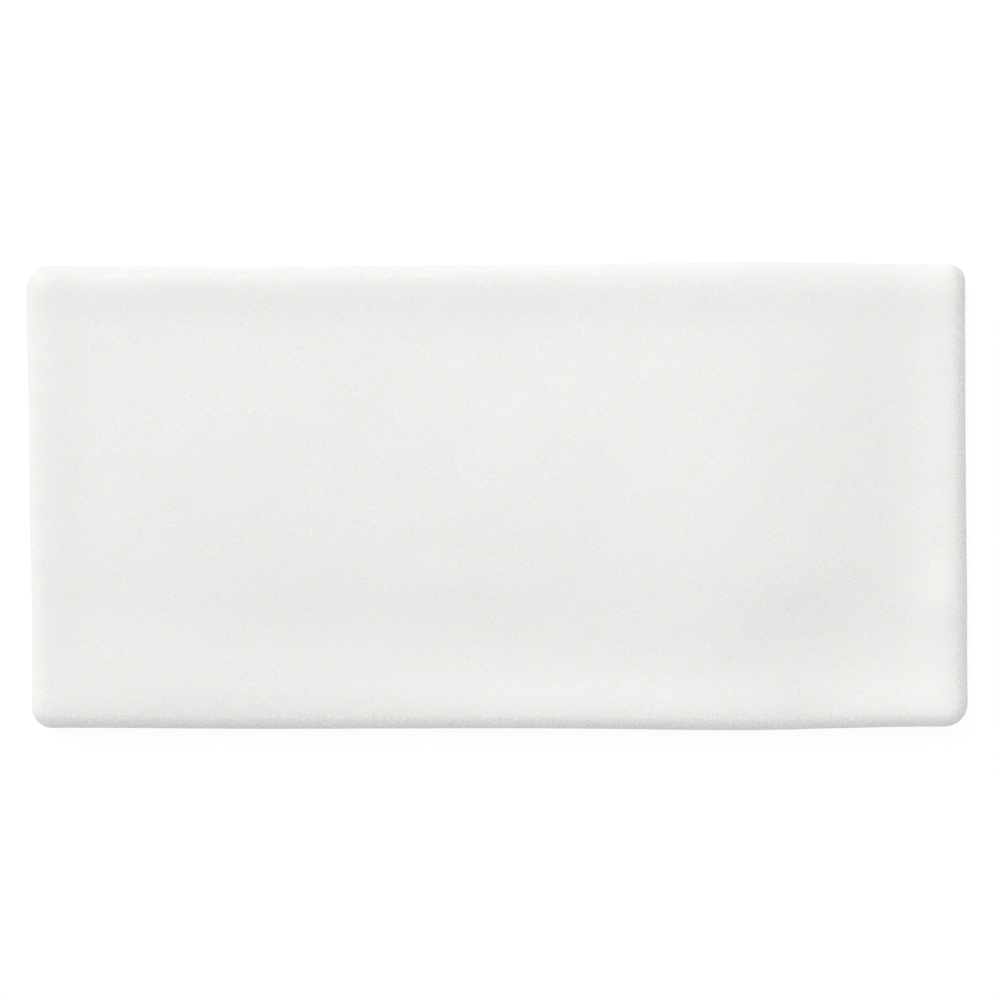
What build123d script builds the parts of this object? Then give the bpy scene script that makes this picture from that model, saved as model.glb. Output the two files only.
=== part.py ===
"""Hand-pressed ceramic wall tile: one fired piece with a wavy face, rolled edges and a keyed back.

The tile lies on its back. +X runs along its length, +Y across its width and +Z out of the glazed face.
The origin is the middle of the back. All lengths are in millimetres.
"""

import os
from collections import namedtuple
from math import exp

from build123d import *

# Overall size: the box that the uneven outline just fills, and the thickness at the face's base level
LENGTH = 150.0
WIDTH = 74.6
THICKNESS = 9.0

# Edges: the roll from the face into the sides, and the small arris round the back
EDGE_ROLL = 2.0
BACK_ARRIS = 0.6

# Corners, seen on the face: radius of each quarter turn
TOP_LEFT_RADIUS = 3.8
TOP_RIGHT_RADIUS = 2.6
BOTTOM_RIGHT_RADIUS = 3.7
BOTTOM_LEFT_RADIUS = 3.2

# The sides aren't quite straight. Each list gives how far a side lies inside the box, at even
# stations from its first corner to its last, going clockwise round the face
TOP_INSETS = (0.65, 0.75, 0.60, 0.35, 0.00, 0.35)
RIGHT_INSETS = (0.35, 0.30, 0.20, 0.05, 0.00)
BOTTOM_INSETS = (0.55, 0.00, 0.20, 0.20, 0.15, 0.35)
LEFT_INSETS = (0.90, 0.85, 0.50, 0.35, 0.00)

# A low bead stands along each side of the face, its crest that far inside the box. It falls away
# quickly to the edge and slowly inwards
Bead = namedtuple("Bead", "height inset")
TOP_BEAD = Bead(0.22, 4.2)
RIGHT_BEAD = Bead(0.30, 3.3)
BOTTOM_BEAD = Bead(0.30, 3.3)
LEFT_BEAD = Bead(0.30, 3.6)
BEAD_OUTER_REACH = 2.2
BEAD_INNER_REACH = 4.0

# The swells and hollows left by the hand press. Places and reaches are shares of the half length
# and half width, and a height below zero is a hollow
Swell = namedtuple("Swell", "along across reach_along reach_across height")
SWELLS = {
    "left crown": Swell(-0.60, 0.10, 0.45, 0.65, 0.70),
    "middle crown": Swell(0.05, -0.10, 0.30, 0.40, 0.50),
    "middle crown's lower lip": Swell(-0.10, -0.38, 0.18, 0.08, 0.10),
    "right crown": Swell(0.52, -0.20, 0.23, 0.50, 1.20),
    "right crown's lower lip": Swell(0.65, -0.35, 0.12, 0.15, 0.20),
    "upper right shoulder": Swell(0.40, 0.35, 0.30, 0.40, 0.55),
    "top hollow": Swell(-0.10, 0.80, 0.40, 0.35, -0.35),
    "top left rim": Swell(-0.70, 0.95, 0.20, 0.12, 0.15),
    "top right edge's fall": Swell(0.80, 1.00, 0.20, 0.15, -0.25),
    "lower left bump": Swell(-0.80, -0.75, 0.15, 0.20, 0.30),
    "lower left trough": Swell(-0.35, -0.58, 0.55, 0.22, -0.35),
    "lower left edge's fall": Swell(-0.45, -1.00, 0.40, 0.15, -0.75),
    "lower middle trough": Swell(0.20, -0.70, 0.55, 0.20, -0.25),
    "lower right hollow": Swell(0.75, -0.62, 0.18, 0.25, -0.50),
    "lower right edge's dip": Swell(0.68, -1.00, 0.08, 0.15, -0.40),
    "right end hollow": Swell(0.90, 0.25, 0.13, 0.80, -0.50),
    "right rim's knob": Swell(0.96, -0.44, 0.06, 0.13, 0.40),
}

# Keying grooves pressed into the back, clear of a plain border
GROOVE_WIDTH = 5.0
GROOVE_DEPTH = 0.5
GROOVE_PITCH = 9.6
BACK_BORDER = 8.0

# The face is laid through points this far apart, over a sheet that overlaps the outline
FACE_STATION = 2.0
FACE_OVERLAP = 4.0
FACE_TOLERANCE = 0.005

HALF_LENGTH = LENGTH / 2
HALF_WIDTH = WIDTH / 2


def hump(offset, reach):
    """Height of a smooth unit hump at that offset from its crest."""
    return exp(-((offset / reach) ** 2))


def bead_rise(bead, inside):
    """Height that a side's bead adds at a point that far inside the side."""
    offset = inside - bead.inset
    return bead.height * hump(offset, BEAD_OUTER_REACH if offset < 0 else BEAD_INNER_REACH)


def face_height(x, y):
    """Height of the glazed face over the back at a point of the tile."""
    height = THICKNESS
    height += bead_rise(TOP_BEAD, HALF_WIDTH - y) + bead_rise(BOTTOM_BEAD, HALF_WIDTH + y)
    height += bead_rise(RIGHT_BEAD, HALF_LENGTH - x) + bead_rise(LEFT_BEAD, HALF_LENGTH + x)
    for swell in SWELLS.values():
        along = hump(x / HALF_LENGTH - swell.along, swell.reach_along)
        across = hump(y / HALF_WIDTH - swell.across, swell.reach_across)
        height += swell.height * along * across
    return height


def stations(half_span):
    """Evenly spaced places across a sheet that overlaps the half span at both ends."""
    reach = half_span + FACE_OVERLAP
    count = int(2 * reach / FACE_STATION) + 1
    return [-reach + 2 * reach * step / count for step in range(count + 1)]


# The wavy face, as one smooth sheet
face_sheet = Face.make_surface_from_array_of_points(
    [[(x, y, face_height(x, y)) for y in stations(HALF_WIDTH)] for x in stations(HALF_LENGTH)],
    tol=FACE_TOLERANCE,
    min_deg=3,
    max_deg=3,
)

# The corners that the sides run between, each where its two end insets put it
top_left = Vector(-HALF_LENGTH + LEFT_INSETS[-1], HALF_WIDTH - TOP_INSETS[0])
top_right = Vector(HALF_LENGTH - RIGHT_INSETS[0], HALF_WIDTH - TOP_INSETS[-1])
bottom_right = Vector(HALF_LENGTH - RIGHT_INSETS[-1], -HALF_WIDTH + BOTTOM_INSETS[0])
bottom_left = Vector(-HALF_LENGTH + LEFT_INSETS[0], -HALF_WIDTH + BOTTOM_INSETS[-1])

EAST, NORTH = Vector(1, 0), Vector(0, 1)
WEST, SOUTH = -EAST, -NORTH


def draw_side(first, first_radius, last, last_radius, heading, inward, insets):
    """One uneven side, from the end of one corner's turn to the start of the next, square to both."""
    start = first + heading * first_radius - inward * insets[0]
    end = last - heading * last_radius - inward * insets[-1]
    spans = len(insets) - 1
    points = [start + (end - start) * (step / spans) + inward * inset for step, inset in enumerate(insets)]
    return Spline(*points, tangents=(heading, heading))


with BuildPart() as tile:
    with BuildSketch():
        with BuildLine():
            top = draw_side(top_left, TOP_LEFT_RADIUS, top_right, TOP_RIGHT_RADIUS, EAST, SOUTH, TOP_INSETS)
            right = draw_side(
                top_right, TOP_RIGHT_RADIUS, bottom_right, BOTTOM_RIGHT_RADIUS, SOUTH, WEST, RIGHT_INSETS
            )
            bottom = draw_side(
                bottom_right, BOTTOM_RIGHT_RADIUS, bottom_left, BOTTOM_LEFT_RADIUS, WEST, NORTH, BOTTOM_INSETS
            )
            left = draw_side(
                bottom_left, BOTTOM_LEFT_RADIUS, top_left, TOP_LEFT_RADIUS, NORTH, EAST, LEFT_INSETS
            )
            RadiusArc(top @ 1, right @ 0, TOP_RIGHT_RADIUS)
            RadiusArc(right @ 1, bottom @ 0, BOTTOM_RIGHT_RADIUS)
            RadiusArc(bottom @ 1, left @ 0, BOTTOM_LEFT_RADIUS)
            RadiusArc(left @ 1, top @ 0, TOP_LEFT_RADIUS)
        make_face()
    extrude(amount=face_sheet.bounding_box().max.Z)
    split(bisect_by=face_sheet, keep=Keep.BOTTOM)
    fillet(tile.faces().sort_by(Axis.Z)[-1].edges(), EDGE_ROLL)
    chamfer(tile.faces().sort_by(Axis.Z)[0].edges(), BACK_ARRIS)
    groove_count = int((WIDTH - 2 * BACK_BORDER - GROOVE_WIDTH) / GROOVE_PITCH) + 1
    with BuildSketch():
        with GridLocations(0, GROOVE_PITCH, 1, groove_count):
            SlotOverall(LENGTH - 2 * BACK_BORDER, GROOVE_WIDTH)
    extrude(amount=GROOVE_DEPTH, mode=Mode.SUBTRACT)

tile.part.label = "tile"
os.makedirs("parts", exist_ok=True)
export_step(tile.part, "parts/tile.step")
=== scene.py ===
"""A white hand-pressed wall tile, lying on its back on a pale table and seen from straight above.

Every length is in metres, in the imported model's frame: +X along the tile, +Y across it, +Z out of the face.
"""

from collections import namedtuple
from math import atan2, ceil, cos, hypot, pi, radians, sin

import bpy
import numpy as np
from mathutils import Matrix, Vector


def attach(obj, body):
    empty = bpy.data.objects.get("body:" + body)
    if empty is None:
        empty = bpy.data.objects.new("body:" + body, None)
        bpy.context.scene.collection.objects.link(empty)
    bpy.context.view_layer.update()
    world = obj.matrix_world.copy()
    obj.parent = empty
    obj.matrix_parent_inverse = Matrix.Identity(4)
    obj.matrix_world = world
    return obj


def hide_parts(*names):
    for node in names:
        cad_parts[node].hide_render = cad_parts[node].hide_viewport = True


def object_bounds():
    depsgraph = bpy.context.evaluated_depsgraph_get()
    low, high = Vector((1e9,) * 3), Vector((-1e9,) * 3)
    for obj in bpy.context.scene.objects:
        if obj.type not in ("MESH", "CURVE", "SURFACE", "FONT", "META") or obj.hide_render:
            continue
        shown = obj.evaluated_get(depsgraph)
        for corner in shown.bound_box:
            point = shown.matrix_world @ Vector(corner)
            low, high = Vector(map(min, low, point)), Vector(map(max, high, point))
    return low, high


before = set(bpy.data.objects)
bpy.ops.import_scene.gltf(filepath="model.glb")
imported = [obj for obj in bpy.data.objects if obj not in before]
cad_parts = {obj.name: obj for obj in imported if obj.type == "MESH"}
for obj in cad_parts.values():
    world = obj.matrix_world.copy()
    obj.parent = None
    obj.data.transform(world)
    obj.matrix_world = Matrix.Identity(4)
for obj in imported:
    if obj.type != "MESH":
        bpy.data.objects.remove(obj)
cad_low, cad_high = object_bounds()
scene = bpy.context.scene
scene.view_settings.view_transform = "Standard"

# The blank
# The tile starts as one plain slab of clay, pressed in a mould: an uneven outline, a rolled edge round the
# face, straight walls and a small arris round the back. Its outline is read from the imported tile's own wall.
THICKNESS = 0.0090
EDGE_ROLL = 0.0020
BACK_ARRIS = 0.0006
MESH_STEP = 0.00056
OUTLINE_STEP = MESH_STEP / 5
ROLL_STEPS = 9
WALL_STEPS = 9
ARRIS_STEPS = 2
STRAIGHT_INSIDE = 0.0060
FOOT_TOLERANCE = 0.00002
UPRIGHT_TOLERANCE = 0.05
SAME_SPOT_DIGITS = 6

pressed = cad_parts["tile"].data
wall_foot = {}
for corner, normal in zip(pressed.loops, pressed.corner_normals):
    place = pressed.vertices[corner.vertex_index].co
    if abs(place.z - BACK_ARRIS) < FOOT_TOLERANCE and abs(normal.vector.z) < UPRIGHT_TOLERANCE:
        spot = round(place.x, SAME_SPOT_DIGITS), round(place.y, SAME_SPOT_DIGITS)
        squarest = wall_foot.setdefault(spot, normal.vector.copy())
        if max(map(abs, normal.vector)) > max(map(abs, squarest)):
            wall_foot[spot] = normal.vector.copy()
turn = sorted(wall_foot, key=lambda spot: atan2(spot[1], spot[0]))

# Between two read points the outline is a smooth span, square to the wall's normal at both
outline = []
for first, last in zip(turn, turn[1:] + turn[:1]):
    chord = hypot(last[0] - first[0], last[1] - first[1])
    pull_first = np.array((-wall_foot[first].y, wall_foot[first].x)) * chord
    pull_last = np.array((-wall_foot[last].y, wall_foot[last].x)) * chord
    for t in np.linspace(0, 1, ceil(chord / OUTLINE_STEP), endpoint=False):
        outline.append(
            (2 * t**3 - 3 * t**2 + 1) * np.array(first) + (t**3 - 2 * t**2 + t) * pull_first
            + (3 * t**2 - 2 * t**3) * np.array(last) + (t**3 - t**2) * pull_last
        )
outline = np.array(outline)
reach = np.concatenate(([0], np.cumsum(np.hypot(*(np.roll(outline, -1, 0) - outline).T))))
girth = reach[-1]
heading = np.roll(outline, -1, 0) - np.roll(outline, 1, 0)
outward = np.stack((heading[:, 1], -heading[:, 0]), 1) / np.hypot(*heading.T)[:, None]

# Stations along the four sides, anticlockwise from the lower left corner, each side between corner tips
corner_tips = [int(np.argmax(outline @ tip)) for tip in ((-1, -1), (1, -1), (1, 1), (-1, 1))]
long_count = round((cad_high.x - cad_low.x) / MESH_STEP)
short_count = round((cad_high.y - cad_low.y) / MESH_STEP)
station_reach = []
for side, count in enumerate((long_count, short_count, long_count, short_count)):
    start = reach[corner_tips[side]]
    span = (reach[corner_tips[(side + 1) % 4]] - start) % girth
    station_reach.extend(start + span * step / count for step in range(count))
stations = len(station_reach)


def at_stations(values):
    """Pairs of values along the outline, read off at the stations."""
    return np.stack(
        [np.interp(station_reach, reach[:-1], values[:, axis], period=girth) for axis in (0, 1)], 1
    )


rim = at_stations(outline)
rim_out = at_stations(outward)

# Rings of the section, from the inside of the roll over the edge and down to the back
section = [(EDGE_ROLL * (1 - sin(a)), THICKNESS - EDGE_ROLL * (1 - cos(a)))
           for a in np.linspace(0, pi / 2, ROLL_STEPS + 1)]
section += [(0, z) for z in np.linspace(THICKNESS - EDGE_ROLL, BACK_ARRIS, WALL_STEPS + 1)[1:]]
section += [(BACK_ARRIS * t, BACK_ARRIS * (1 - t)) for t in np.linspace(0, 1, ARRIS_STEPS + 1)[1:]]
rings = [np.column_stack((rim - rim_out * inset, np.full(stations, z))) for inset, z in section]


def grid_inside(ring):
    """Rows of points that fill a ring, its own stations left out: even at the ring, straight farther in."""
    low, right = ring[:long_count], ring[long_count:long_count + short_count]
    high = ring[long_count + short_count:2 * long_count + short_count]
    left = ring[2 * long_count + short_count:]
    low_left, low_right, high_right, high_left = low[0], right[0], high[0], left[0]
    u = (np.arange(1, long_count) / long_count)[:, None, None]
    v = (np.arange(1, short_count) / short_count)[None, :, None]
    across = (1 - v) * low[1:, None] + v * high[:0:-1, None]
    along = (1 - u) * left[None, :0:-1] + u * right[None, 1:]
    corners = (1 - v) * ((1 - u) * low_left + u * low_right) + v * ((1 - u) * high_left + u * high_right)
    even = across + along - corners
    straight = even.copy()
    straight[..., 0] = left[:, 0].mean() + (right[:, 0].mean() - left[:, 0].mean()) * u[..., 0]
    straight[..., 1] = low[:, 1].mean() + (high[:, 1].mean() - low[:, 1].mean()) * v[..., 0]
    steps_in = np.minimum(np.minimum(u, 1 - u) * long_count, np.minimum(v, 1 - v) * short_count)
    share = np.clip(steps_in * MESH_STEP / STRAIGHT_INSIDE, 0, 1)
    share = share * share * (3 - 2 * share)
    return (even + (straight - even) * share).reshape(-1, 3)


def grid_index(i, j, ring_start, inside_start):
    """Where the point of that column and row of a filled ring stands in the list of points."""
    if j == 0:
        return ring_start + i
    if i == long_count:
        return ring_start + long_count + j
    if j == short_count:
        return ring_start + 2 * long_count + short_count - i
    if i == 0:
        return ring_start + 2 * (long_count + short_count) - j
    return inside_start + (i - 1) * (short_count - 1) + j - 1


points = np.concatenate(rings + [grid_inside(rings[0]), grid_inside(rings[-1])])
back_ring = (len(rings) - 1) * stations
face_inside = len(rings) * stations
back_inside = face_inside + (long_count - 1) * (short_count - 1)
faces = []
for ring in range(len(rings) - 1):
    upper, lower = ring * stations, (ring + 1) * stations
    for k in range(stations):
        after = (k + 1) % stations
        faces.append((upper + k, lower + k, lower + after, upper + after))
for ring_start, inside_start, order in ((0, face_inside, 1), (back_ring, back_inside, -1)):
    for i in range(long_count):
        for j in range(short_count):
            spots = ((i, j), (i + 1, j), (i + 1, j + 1), (i, j + 1))
            faces.append([grid_index(*spot, ring_start, inside_start) for spot in spots][::order])
blank_mesh = bpy.data.meshes.new("blank")
blank_mesh.from_pydata(points.tolist(), [], faces)
blank_mesh.polygons.foreach_set("use_smooth", [True] * len(faces))
blank = bpy.data.objects.new("blank", blank_mesh)
scene.collection.objects.link(blank)

# The press
# The hand press leaves low swells and hollows across the face, a bead stands along its sides, and straight
# grooves key the back for adhesive. Swells are placed in shares of the half length and half width.
Swell = namedtuple("Swell", "along across reach_along reach_across height")
SWELLS = {
    "left crown": Swell(-0.60, 0.10, 0.45, 0.65, 0.00070),
    "middle crown": Swell(0.05, -0.10, 0.30, 0.40, 0.00050),
    "middle crown's lower lip": Swell(-0.10, -0.38, 0.18, 0.08, 0.00010),
    "right crown": Swell(0.52, -0.20, 0.23, 0.50, 0.00120),
    "right crown's lower lip": Swell(0.65, -0.35, 0.12, 0.15, 0.00020),
    "upper right shoulder": Swell(0.40, 0.35, 0.30, 0.40, 0.00055),
    "top hollow": Swell(-0.10, 0.80, 0.40, 0.35, -0.00035),
    "top left rim": Swell(-0.70, 0.95, 0.20, 0.12, 0.00015),
    "top right edge's fall": Swell(0.80, 1.00, 0.20, 0.15, -0.00025),
    "lower left bump": Swell(-0.80, -0.75, 0.15, 0.20, 0.00030),
    "lower left trough": Swell(-0.35, -0.58, 0.55, 0.22, -0.00035),
    "lower left edge's fall": Swell(-0.45, -1.00, 0.40, 0.15, -0.00075),
    "lower middle trough": Swell(0.20, -0.70, 0.55, 0.20, -0.00025),
    "lower right hollow": Swell(0.75, -0.62, 0.18, 0.25, -0.00050),
    "lower right edge's dip": Swell(0.68, -1.00, 0.08, 0.15, -0.00040),
    "right end hollow": Swell(0.90, 0.25, 0.13, 0.80, -0.00050),
    "right rim's knob": Swell(0.96, -0.44, 0.06, 0.13, 0.00040),
}
Bead = namedtuple("Bead", "axis end height inset")
BEADS = {
    "top": Bead("Y", 1, 0.00022, 0.0042),
    "right": Bead("X", 1, 0.00030, 0.0033),
    "bottom": Bead("Y", -1, 0.00030, 0.0033),
    "left": Bead("X", -1, 0.00030, 0.0036),
}
PRESS_SIZES = {
    "Half Length": 0.0750,
    "Half Width": 0.0373,
    "Bead Outer Reach": 0.0022,
    "Bead Inner Reach": 0.0040,
    "Wall Foot": BACK_ARRIS,
    "Wall Top": THICKNESS - EDGE_ROLL,
    "Groove Width": 0.0050,
    "Groove Depth": 0.0005,
    "Groove Pitch": 0.0096,
    "Groove Draft": 0.0006,
    "Back Border": 0.0080,
    "Back Limit": 0.00001,
}


def add_node(tree, kind, inputs=(), **settings):
    """The first output of a new node, its settings made and its inputs linked or given a value by key."""
    node = tree.nodes.new(kind)
    for name, value in settings.items():
        setattr(node, name, value)
    for key, value in dict(inputs).items():
        if isinstance(value, bpy.types.NodeSocket):
            tree.links.new(value, node.inputs[key])
        else:
            node.inputs[key].default_value = value
    return node.outputs[0]


def work_out(tree, operation, *values):
    """One step of arithmetic in a tree."""
    return add_node(tree, "ShaderNodeMath", enumerate(values), operation=operation)


def blend_in(tree, value, start, end):
    """0 below the start and 1 above the end, smooth between them."""
    return add_node(
        tree, "ShaderNodeMapRange", {0: value, 1: start, 2: end}, interpolation_type="SMOOTHSTEP"
    )


def value_between(tree, factor, low, high):
    """A value between two, as the factor goes from 0 to 1."""
    return add_node(tree, "ShaderNodeMix", {0: factor, 2: low, 3: high}, data_type="FLOAT")


def new_tree(name, inputs, output, kind):
    """A geometry tree with those named inputs and one output, and the sockets inside it."""
    tree = bpy.data.node_groups.new(name, "GeometryNodeTree")
    for label, socket_kind in inputs.items():
        tree.interface.new_socket(label, in_out="INPUT", socket_type=socket_kind)
    tree.interface.new_socket(output, in_out="OUTPUT", socket_type=kind)
    return tree, tree.nodes.new("NodeGroupInput").outputs, tree.nodes.new("NodeGroupOutput").inputs[0]


def press_through(piece, tree, values):
    """The mesh that a piece becomes when it has gone through a tree with those values."""
    modifier = piece.modifiers.new(tree.name, "NODES")
    modifier.node_group = tree
    for item in tree.interface.items_tree:
        if item.name in values:
            modifier[item.identifier] = values[item.name]
    bpy.context.view_layer.update()
    made = bpy.data.meshes.new_from_object(piece.evaluated_get(bpy.context.evaluated_depsgraph_get()))
    piece.modifiers.remove(modifier)
    return made


# A smooth hump of height 1 over its crest
hump, given, result = new_tree(
    "hump", dict.fromkeys(("Offset", "Reach"), "NodeSocketFloat"), "Height", "NodeSocketFloat"
)
share = work_out(hump, "DIVIDE", given["Offset"], given["Reach"])
fall = work_out(hump, "MULTIPLY", work_out(hump, "MULTIPLY", share, share), -1.0)
hump.links.new(work_out(hump, "EXPONENT", fall), result)

# A swell, which is a hump both along and across
SWELL_INPUTS = ("X Share", "Y Share", "Along", "Across", "Reach Along", "Reach Across", "Height")
swell_tree, given, result = new_tree(
    "swell", dict.fromkeys(SWELL_INPUTS, "NodeSocketFloat"), "Rise", "NodeSocketFloat"
)
rise = given["Height"]
for spot, crest, width in (("X Share", "Along", "Reach Along"), ("Y Share", "Across", "Reach Across")):
    offset = work_out(swell_tree, "SUBTRACT", given[spot], given[crest])
    slope = add_node(
        swell_tree, "GeometryNodeGroup", {"Offset": offset, "Reach": given[width]}, node_tree=hump
    )
    rise = work_out(swell_tree, "MULTIPLY", rise, slope)
swell_tree.links.new(rise, result)

# The press itself
press, given, result = new_tree(
    "press",
    {
        "Geometry": "NodeSocketGeometry",
        **dict.fromkeys(PRESS_SIZES, "NodeSocketFloat"),
        "Clay": "NodeSocketMaterial",
    },
    "Geometry",
    "NodeSocketGeometry",
)
position = add_node(press, "GeometryNodeInputPosition")
here = add_node(press, "ShaderNodeSeparateXYZ", {0: position}).node.outputs
from_middle = {axis: work_out(press, "ABSOLUTE", here[axis]) for axis in "XY"}
half = {"X": given["Half Length"], "Y": given["Half Width"]}

# Beads and swells lift the face whole, and the wall less and less towards its foot
face_rise = 0.0
for bead in BEADS.values():
    inside = work_out(press, "MULTIPLY_ADD", here[bead.axis], -bead.end, half[bead.axis])
    offset = work_out(press, "SUBTRACT", inside, bead.inset)
    inner = work_out(press, "GREATER_THAN", offset, 0.0)
    bead_reach = value_between(press, inner, given["Bead Outer Reach"], given["Bead Inner Reach"])
    ridge = add_node(press, "GeometryNodeGroup", {"Offset": offset, "Reach": bead_reach}, node_tree=hump)
    face_rise = work_out(press, "MULTIPLY_ADD", ridge, bead.height, face_rise)
shares = {label: work_out(press, "DIVIDE", here[label[0]], half[label[0]]) for label in SWELL_INPUTS[:2]}
for name, swell in SWELLS.items():
    swell_values = {**shares, **dict(zip(SWELL_INPUTS[2:], swell))}
    lifted = add_node(press, "GeometryNodeGroup", swell_values, node_tree=swell_tree, label=name)
    face_rise = work_out(press, "ADD", face_rise, lifted)
lift = add_node(
    press, "ShaderNodeMapRange", {0: here["Z"], 1: given["Wall Foot"], 2: given["Wall Top"]}
)
face_rise = work_out(press, "MULTIPLY", face_rise, lift)

# Grooves with round ends, as many on one side of the middle as on the other, clear of a plain border
half_groove = work_out(press, "MULTIPLY", given["Groove Width"], 0.5)
half_pitch = work_out(press, "MULTIPLY", given["Groove Pitch"], 0.5)
keyed = {axis: work_out(press, "SUBTRACT", half[axis], given["Back Border"]) for axis in "XY"}
in_pitch = work_out(press, "WRAP", here["Y"], given["Groove Pitch"], 0.0)
across = work_out(press, "SUBTRACT", in_pitch, half_pitch)
run = work_out(press, "SUBTRACT", keyed["X"], half_groove)
past_end = work_out(press, "MAXIMUM", work_out(press, "SUBTRACT", from_middle["X"], run), 0.0)
past_squared = work_out(press, "MULTIPLY", past_end, past_end)
from_spine = work_out(press, "SQRT", work_out(press, "MULTIPLY_ADD", across, across, past_squared))
in_groove = work_out(press, "SUBTRACT", half_groove, from_spine)
sunk = blend_in(press, in_groove, 0.0, given["Groove Draft"])
depth = work_out(press, "MULTIPLY", sunk, given["Groove Depth"])
on_back = work_out(press, "LESS_THAN", here["Z"], given["Back Limit"])
for limit in (on_back, work_out(press, "LESS_THAN", from_middle["Y"], keyed["Y"])):
    depth = work_out(press, "MULTIPLY", depth, limit)
moved = add_node(press, "ShaderNodeCombineXYZ", {"Z": work_out(press, "ADD", face_rise, depth)})
shaped = add_node(press, "GeometryNodeSetPosition", {"Geometry": given["Geometry"], "Offset": moved})
shaped = add_node(press, "GeometryNodeRealizeInstances", {"Geometry": shaped})
shaped = add_node(press, "GeometryNodeSetMaterial", {"Geometry": shaped, "Material": given["Clay"]})
press.links.new(shaped, result)

# The glaze
# A satin white glaze, slightly warm, is melted over the face in fine ripples, with a few dark pinholes. It is
# thin on the lower and right rolls. A painted shade darkens the upper left corner, where the lamps light it
# most. It runs down the walls to an uneven line, and below that line and on the back the pale biscuit is bare.
GLAZE_SIZES = {
    "Glaze Line": 0.0030,
    "Glaze Line Wander": 0.0016,
    "Wander Scale": 70.0,
    "Wander Detail": 2.0,
    "Glaze Thickness": 0.00012,
    "Glaze Lip": 0.0005,
    "Ripple Height": 0.00008,
    "Ripple Scale": 280.0,
    "Ripple Detail": 1.0,
    "Wall Foot": BACK_ARRIS,
    "Seed": 4.0,
}
coat, given, result = new_tree(
    "glaze_coat",
    {
        "Geometry": "NodeSocketGeometry",
        **dict.fromkeys(GLAZE_SIZES, "NodeSocketFloat"),
        "Glaze": "NodeSocketMaterial",
    },
    "Geometry",
    "NodeSocketGeometry",
)
position = add_node(coat, "GeometryNodeInputPosition")
normal = add_node(coat, "GeometryNodeInputNormal")
height = add_node(coat, "ShaderNodeSeparateXYZ", {0: position}).node.outputs["Z"]

TEXTURE_MIDDLE = 0.5


def wander(kind):
    """Smooth random values about zero, the same at every run, at that kind's scale and detail."""
    sizes = {"Scale": given[f"{kind} Scale"], "Detail": given[f"{kind} Detail"]}
    noise = add_node(
        coat, "ShaderNodeTexNoise", {"Vector": position, "W": given["Seed"], **sizes}, noise_dimensions="4D"
    )
    return work_out(coat, "SUBTRACT", noise, TEXTURE_MIDDLE)


line = work_out(coat, "MULTIPLY_ADD", wander("Wander"), given["Glaze Line Wander"], given["Glaze Line"])
above_line = work_out(coat, "SUBTRACT", height, line)
glazed = blend_in(coat, above_line, work_out(coat, "MULTIPLY", given["Glaze Lip"], -1.0), 0.0)
ripple = work_out(coat, "MULTIPLY", wander("Ripple"), given["Ripple Height"])
unglazed = work_out(coat, "SUBTRACT", 1.0, glazed)
bare = work_out(coat, "MULTIPLY", unglazed, blend_in(coat, height, 0.0, given["Wall Foot"]))
rippled = work_out(coat, "MULTIPLY", ripple, glazed)
out = work_out(coat, "SUBTRACT", rippled, work_out(coat, "MULTIPLY", bare, given["Glaze Thickness"]))
shift = add_node(coat, "ShaderNodeVectorMath", {0: normal, "Scale": out}, operation="SCALE")

# Where the glaze is thin is told by the way the surface faces: towards +X or -Y on the rolls, but not on the
# upright walls. Facing -X and +Y at once, at the corner that the lamps light most, a painted shade is marked
ROLL_TURNS = (0.05, 0.40)
WALL_LEANS = (0.05, 0.35)
PAINTED_SHADE_CORNER_TURNS = (0.02, 0.20)
facing = add_node(coat, "ShaderNodeSeparateXYZ", {0: normal}).node.outputs
roll_turn = work_out(coat, "MAXIMUM", facing["X"], work_out(coat, "MULTIPLY", facing["Y"], -1.0))
on_roll = blend_in(coat, roll_turn, *ROLL_TURNS)
thin_on_rolls = work_out(coat, "MULTIPLY", on_roll, blend_in(coat, facing["Z"], *WALL_LEANS))
# How far the surface faces the upper left corner, towards the lamps, for the painted shade there
painted_shade_corner_turn = work_out(coat, "MULTIPLY", work_out(coat, "MULTIPLY", facing["X"], facing["Y"]), -1.0)
painted_shade_corner_turn = work_out(coat, "MULTIPLY", painted_shade_corner_turn, work_out(coat, "GREATER_THAN", facing["Y"], 0.0))
stored = {
    "above_glaze_line": above_line,
    "thin_on_rolls": thin_on_rolls,
    "painted_shade_at_corner": blend_in(coat, painted_shade_corner_turn, *PAINTED_SHADE_CORNER_TURNS),
}
coated = given["Geometry"]
for name, value in stored.items():
    named = {"Geometry": coated, "Name": name, "Value": value}
    coated = add_node(coat, "GeometryNodeStoreNamedAttribute", named, data_type="FLOAT", domain="POINT")
coated = add_node(coat, "GeometryNodeSetPosition", {"Geometry": coated, "Offset": shift})
coated = add_node(coat, "GeometryNodeRealizeInstances", {"Geometry": coated})
coated = add_node(coat, "GeometryNodeSetMaterial", {"Geometry": coated, "Material": given["Glaze"]})
coat.links.new(coated, result)

# Cloudy textures, each with features of about one over its scale, in metres
Texture = namedtuple("Texture", "scale detail roughness")
FRAY = Texture(2500.0, 2.0, 0.5)
CLOUDS = Texture(90.0, 5.0, 0.5)
FLECKS = Texture(3300.0, 2.0, 0.6)
PATCHES = Texture(420.0, 2.0, 0.5)
CLAY_MOTTLE = Texture(900.0, 6.0, 0.7)
SATIN = Texture(400.0, 3.0, 0.5)
CLAY_PORES = Texture(2200.0, 4.0, 0.75)

glaze = bpy.data.materials.new("satin_white_glaze")
glaze.use_nodes = True
shading = glaze.node_tree
glaze_shader = shading.nodes["Principled BSDF"]
on_tile = add_node(shading, "ShaderNodeTexCoord").node.outputs["Object"]


def lay(texture):
    """A cloudy texture laid on the tile's own coordinates."""
    sizes = {"Scale": texture.scale, "Detail": texture.detail, "Roughness": texture.roughness}
    return add_node(shading, "ShaderNodeTexNoise", {"Vector": on_tile, **sizes})


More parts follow.
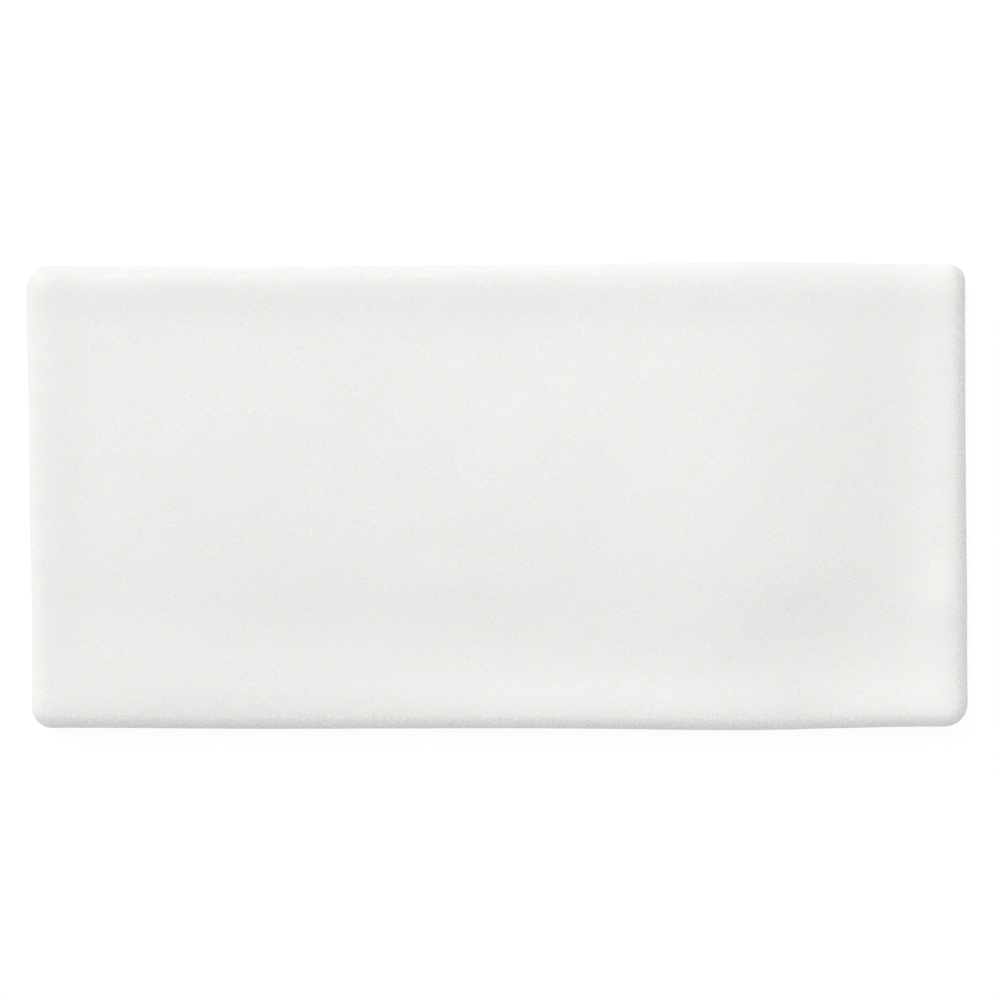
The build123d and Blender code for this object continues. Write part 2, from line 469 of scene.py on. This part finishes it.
def colour_between(factor, low, high):
    """A colour between two, as the factor goes from 0 to 1."""
    mixed = add_node(shading, "ShaderNodeMix", {0: factor, 6: low, 7: high}, data_type="RGBA").node
    return mixed.outputs[2]


def read(name):
    """A value that the glaze coat stored on the mesh."""
    return add_node(shading, "ShaderNodeAttribute", attribute_name=name).node.outputs["Fac"]


# The glaze line frays a little
FRAY_HEIGHT = 0.0003
FRAY_EDGE = (0.0001, 0.0002)
frayed_line = work_out(shading, "MULTIPLY_ADD", lay(FRAY), FRAY_HEIGHT, read("above_glaze_line"))
glaze_cover = blend_in(shading, frayed_line, *FRAY_EDGE)

# Slightly cloudy whites under fine specks, lighter and darker, in patches on the face and dense on the rolls
# where the glaze is thin, and a painted shade on the upper left corner. The tone goes from the darker glaze
# colour to the white
GLAZE_WHITE, GLAZE_SHADE = (0.890, 0.884, 0.869, 1), (0.756, 0.749, 0.731, 1)
CLOUD_LIMITS = (0.3, 0.7)
FLECK_SPREAD = 0.08
PATCH_LIMITS = (0.46, 0.60)
SPECKS_IN_PATCH = 0.6
SPECKS_EVERYWHERE = 0.7
SPECKS_ON_ROLLS = 6.0
BASE_TONE = 0.47
CLOUD_TONE = 0.06
SPECK_TONE = 0.07
# A painted shade: how much darker the upper left corner is made, where the lamps light it most
PAINTED_CORNER_SHADE = -0.38
clouds = blend_in(shading, lay(CLOUDS), *CLOUD_LIMITS)
fleck = work_out(shading, "SUBTRACT", lay(FLECKS), TEXTURE_MIDDLE)
fleck = work_out(shading, "DIVIDE", fleck, FLECK_SPREAD)
specks = work_out(shading, "MULTIPLY", fleck, work_out(shading, "ABSOLUTE", fleck))
patches = blend_in(shading, lay(PATCHES), *PATCH_LIMITS)
density = work_out(shading, "MULTIPLY_ADD", patches, SPECKS_IN_PATCH, SPECKS_EVERYWHERE)
density = work_out(shading, "MULTIPLY_ADD", read("thin_on_rolls"), SPECKS_ON_ROLLS, density)
specks = work_out(shading, "MULTIPLY", specks, density)
tone = work_out(shading, "MULTIPLY_ADD", clouds, CLOUD_TONE, BASE_TONE)
tone = work_out(shading, "MULTIPLY_ADD", specks, SPECK_TONE, tone)
# Painted shade: the tone darkens at the upper left corner, which faces the lamps
tone = work_out(shading, "MULTIPLY_ADD", read("painted_shade_at_corner"), PAINTED_CORNER_SHADE, tone)
white = colour_between(tone, GLAZE_SHADE, GLAZE_WHITE)

# A cell of the scatter has a pinhole where its chance is over the limit, larger the more it is over
PINHOLE = (0.52, 0.50, 0.46, 1)
PINHOLE_SCALE = 120.0
PINHOLE_LIMIT = 0.90
PINHOLE_REACH = 0.009
scatter = {"Vector": on_tile, "Scale": PINHOLE_SCALE}
holes = add_node(shading, "ShaderNodeTexVoronoi", scatter, voronoi_dimensions="2D").node.outputs
chance = add_node(shading, "ShaderNodeSeparateColor", {0: holes["Color"]}).node.outputs["Red"]
hole_reach = add_node(
    shading, "ShaderNodeMapRange", {0: chance, 1: PINHOLE_LIMIT, 2: 1.0, 3: 0.0, 4: PINHOLE_REACH}
)
pinholes = work_out(shading, "LESS_THAN", holes["Distance"], hole_reach)
white = colour_between(pinholes, white, PINHOLE)
CLAY_PALE, CLAY_DARK = (0.76, 0.72, 0.66, 1), (0.66, 0.61, 0.54, 1)
clay = colour_between(lay(CLAY_MOTTLE), CLAY_DARK, CLAY_PALE)
shading.links.new(colour_between(glaze_cover, clay, white), glaze_shader.inputs["Base Color"])

# Satin over the glaze, dull on the clay, with a fine grain in both
GLAZE_IOR = 1.55
SATIN_ROUGHNESS = (0.42, 0.50)
CLAY_ROUGHNESS = 0.85
PORE_DEPTH = 0.00012
SPECK_HEIGHT = 0.0000005
glaze_shader.inputs["IOR"].default_value = GLAZE_IOR
satin = add_node(
    shading, "ShaderNodeMapRange", {0: lay(SATIN), 3: SATIN_ROUGHNESS[0], 4: SATIN_ROUGHNESS[1]}
)
roughness = value_between(shading, glaze_cover, CLAY_ROUGHNESS, satin)
shading.links.new(roughness, glaze_shader.inputs["Roughness"])
pores = work_out(shading, "MULTIPLY", lay(CLAY_PORES), PORE_DEPTH)
grain = work_out(shading, "MULTIPLY", specks, SPECK_HEIGHT)
relief = value_between(shading, glaze_cover, pores, grain)
bump = add_node(shading, "ShaderNodeBump", {"Height": relief, "Distance": 1.0, "Strength": 1.0})
shading.links.new(bump, glaze_shader.inputs["Normal"])

blank.data = press_through(blank, press, {**PRESS_SIZES, "Clay": glaze})
tile = bpy.data.objects.new("glazed_tile", press_through(blank, coat, {**GLAZE_SIZES, "Glaze": glaze}))
scene.collection.objects.link(tile)
bpy.data.objects.remove(blank)
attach(tile, "root")
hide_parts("tile")

# The table
# A plain matt white board that the tile lies on. Seen straight on or in the glaze it glows nearly white, and
# only the little that it takes from the lamps is dimmed by the tile's shadow.
TABLE_SIDE = 1.6
TABLE_WHITE = (0.85, 0.85, 0.85, 1)
SEEN_GLOW = 0.92
SEEN_WHITE = (0.10, 0.10, 0.10, 1)
bpy.ops.mesh.primitive_plane_add(size=TABLE_SIDE)
table = bpy.context.object
table.name = "table"
board = bpy.data.materials.new("white_board")
board.use_nodes = True
board_tree = board.node_tree
board_tree.nodes.clear()
rays = add_node(board_tree, "ShaderNodeLightPath").node.outputs
seen = work_out(board_tree, "MAXIMUM", rays["Is Camera Ray"], rays["Is Glossy Ray"])
seen = work_out(board_tree, "MAXIMUM", seen, rays["Is Transmission Ray"])
matt = add_node(board_tree, "ShaderNodeBsdfDiffuse", {"Color": TABLE_WHITE})
glow = add_node(board_tree, "ShaderNodeEmission", {"Strength": SEEN_GLOW})
shaded = add_node(board_tree, "ShaderNodeBsdfDiffuse", {"Color": SEEN_WHITE})
bright = add_node(board_tree, "ShaderNodeAddShader", {0: glow, 1: shaded})
surface = add_node(board_tree, "ShaderNodeMixShader", {0: seen, 1: matt, 2: bright})
board_output = board_tree.nodes.new("ShaderNodeOutputMaterial")
board_tree.links.new(surface, board_output.inputs["Surface"])
table.data.materials.append(board)

# The light
# An even pale studio all round, and two soft lamps from the upper left. The low one models the edges and
# isn't reflected in the glaze. The high one is reflected there, so that the waves show.
STUDIO_WHITE = (1, 1, 1, 1)
STUDIO_LEVEL = 0.595
Lamp = namedtuple("Lamp", "azimuth elevation level softness reflected")
LAMPS = {
    "low_lamp": Lamp(radians(44), radians(17), 0.30, radians(36), False),
    "high_lamp": Lamp(radians(30), radians(64.5), 0.355, radians(25), True),
}
studio = bpy.data.worlds.new("studio")
studio.use_nodes = True
studio_light = studio.node_tree.nodes["Background"].inputs
studio_light["Color"].default_value = STUDIO_WHITE
studio_light["Strength"].default_value = STUDIO_LEVEL
scene.world = studio
for name, lamp in LAMPS.items():
    sun = bpy.data.objects.new(name, bpy.data.lights.new(name, "SUN"))
    sun.data.energy = lamp.level * pi
    sun.data.angle = lamp.softness
    towards = Vector((-sin(lamp.azimuth), cos(lamp.azimuth), 0)) * cos(lamp.elevation)
    towards.z = sin(lamp.elevation)
    sun.rotation_euler = towards.to_track_quat("Z", "Y").to_euler()
    sun.visible_glossy = lamp.reflected
    scene.collection.objects.link(sun)

# The camera
# A long lens straight above, with the tile's length along the picture. The picture's width is what it takes
# in at the height of the tile's rim.
LENS = 135
PICTURE_WIDTH = 0.15937
PICTURE_CENTRE = (0.00048, -0.00063)
RIM_HEIGHT = 0.0074
camera = bpy.data.objects.new("camera", bpy.data.cameras.new("camera"))
camera.data.lens = LENS
camera_height = RIM_HEIGHT + PICTURE_WIDTH * camera.data.lens / camera.data.sensor_width
camera.location = (*PICTURE_CENTRE, camera_height)
scene.collection.objects.link(camera)
scene.camera = camera
